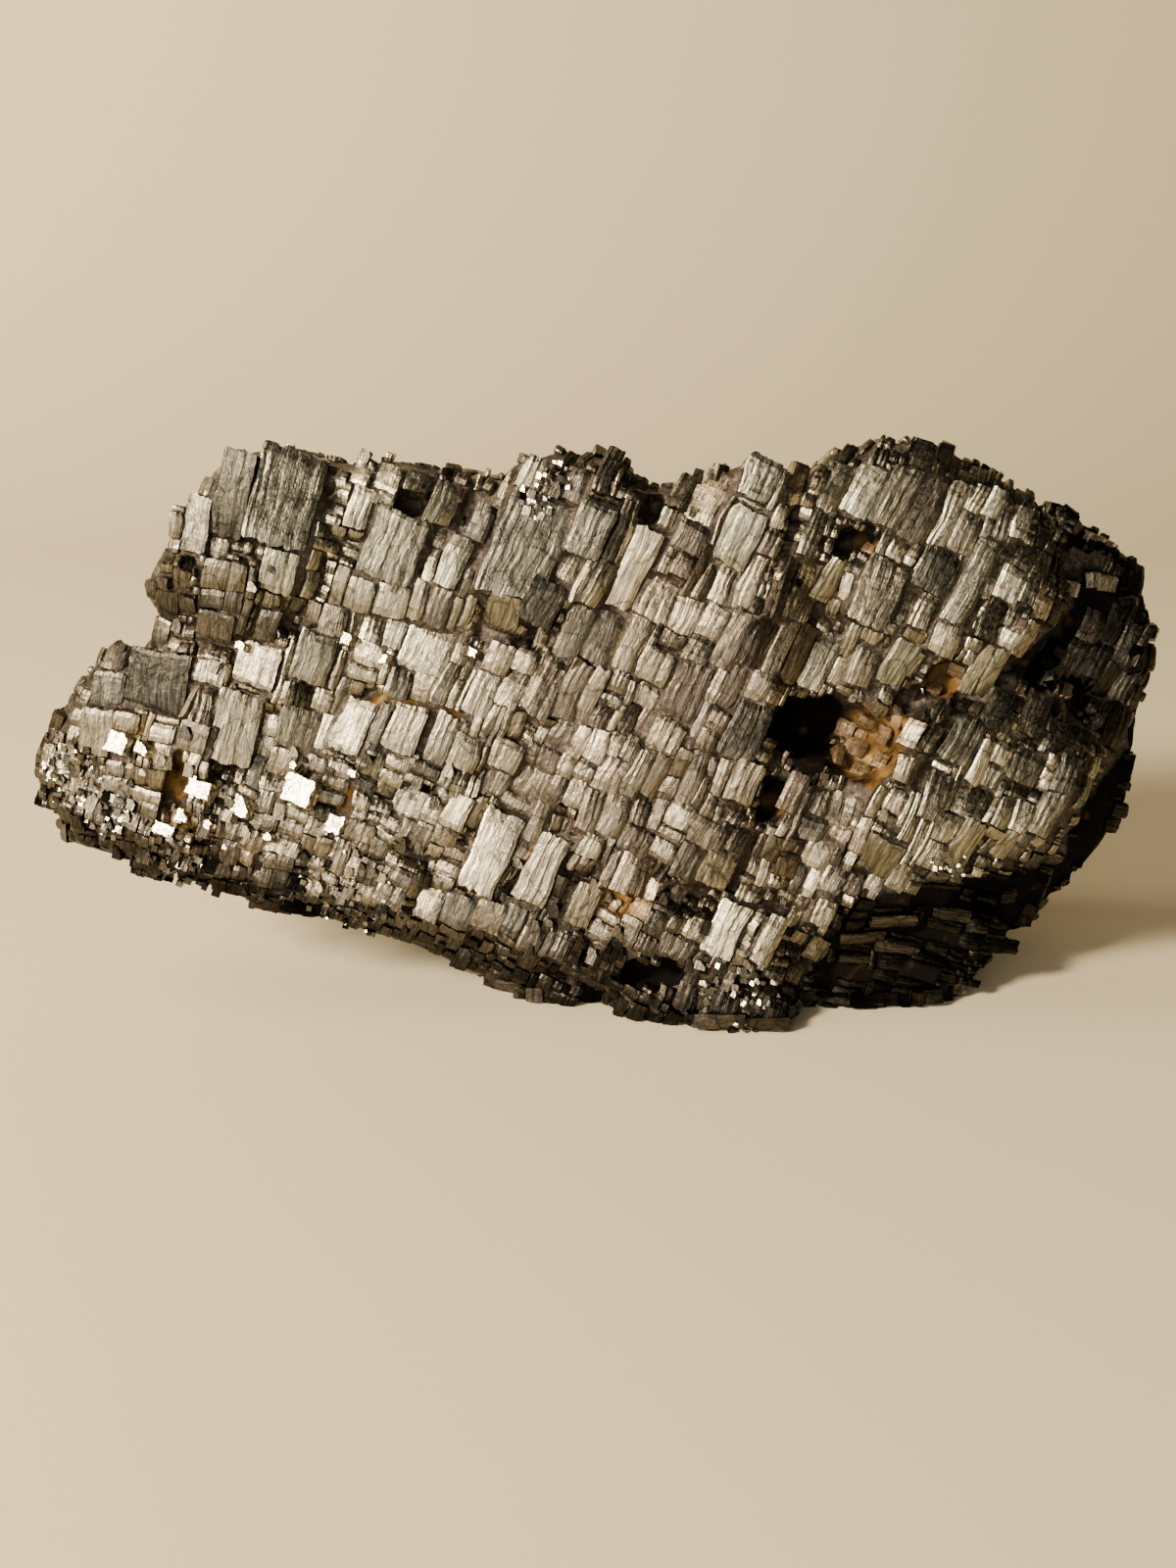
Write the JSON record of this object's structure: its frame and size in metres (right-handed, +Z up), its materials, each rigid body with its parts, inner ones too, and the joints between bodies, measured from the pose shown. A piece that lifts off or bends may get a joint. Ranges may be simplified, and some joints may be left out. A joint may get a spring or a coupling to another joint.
{
  "type": "pyrite specimen",
  "caption": "Hand-size pyrite cluster: intergrown, striated, blocky crystals in leaning rows, standing on its own flat foot.",
  "frame": {"origin": "middle of the bounding box, at the height of the surface that the piece stands on", "axes": "+X along the piece's length, to the right in the front view; +Y from the crystal face to the back; +Z up"},
  "size_m": [0.1108, 0.0366, 0.0538],
  "materials": {
    "pyrite": "dull metallic, striated"
  },
  "bodies": {
    "root": {"pyrite_crystal_mass": "pyrite"}
  },
  "joints": []
}
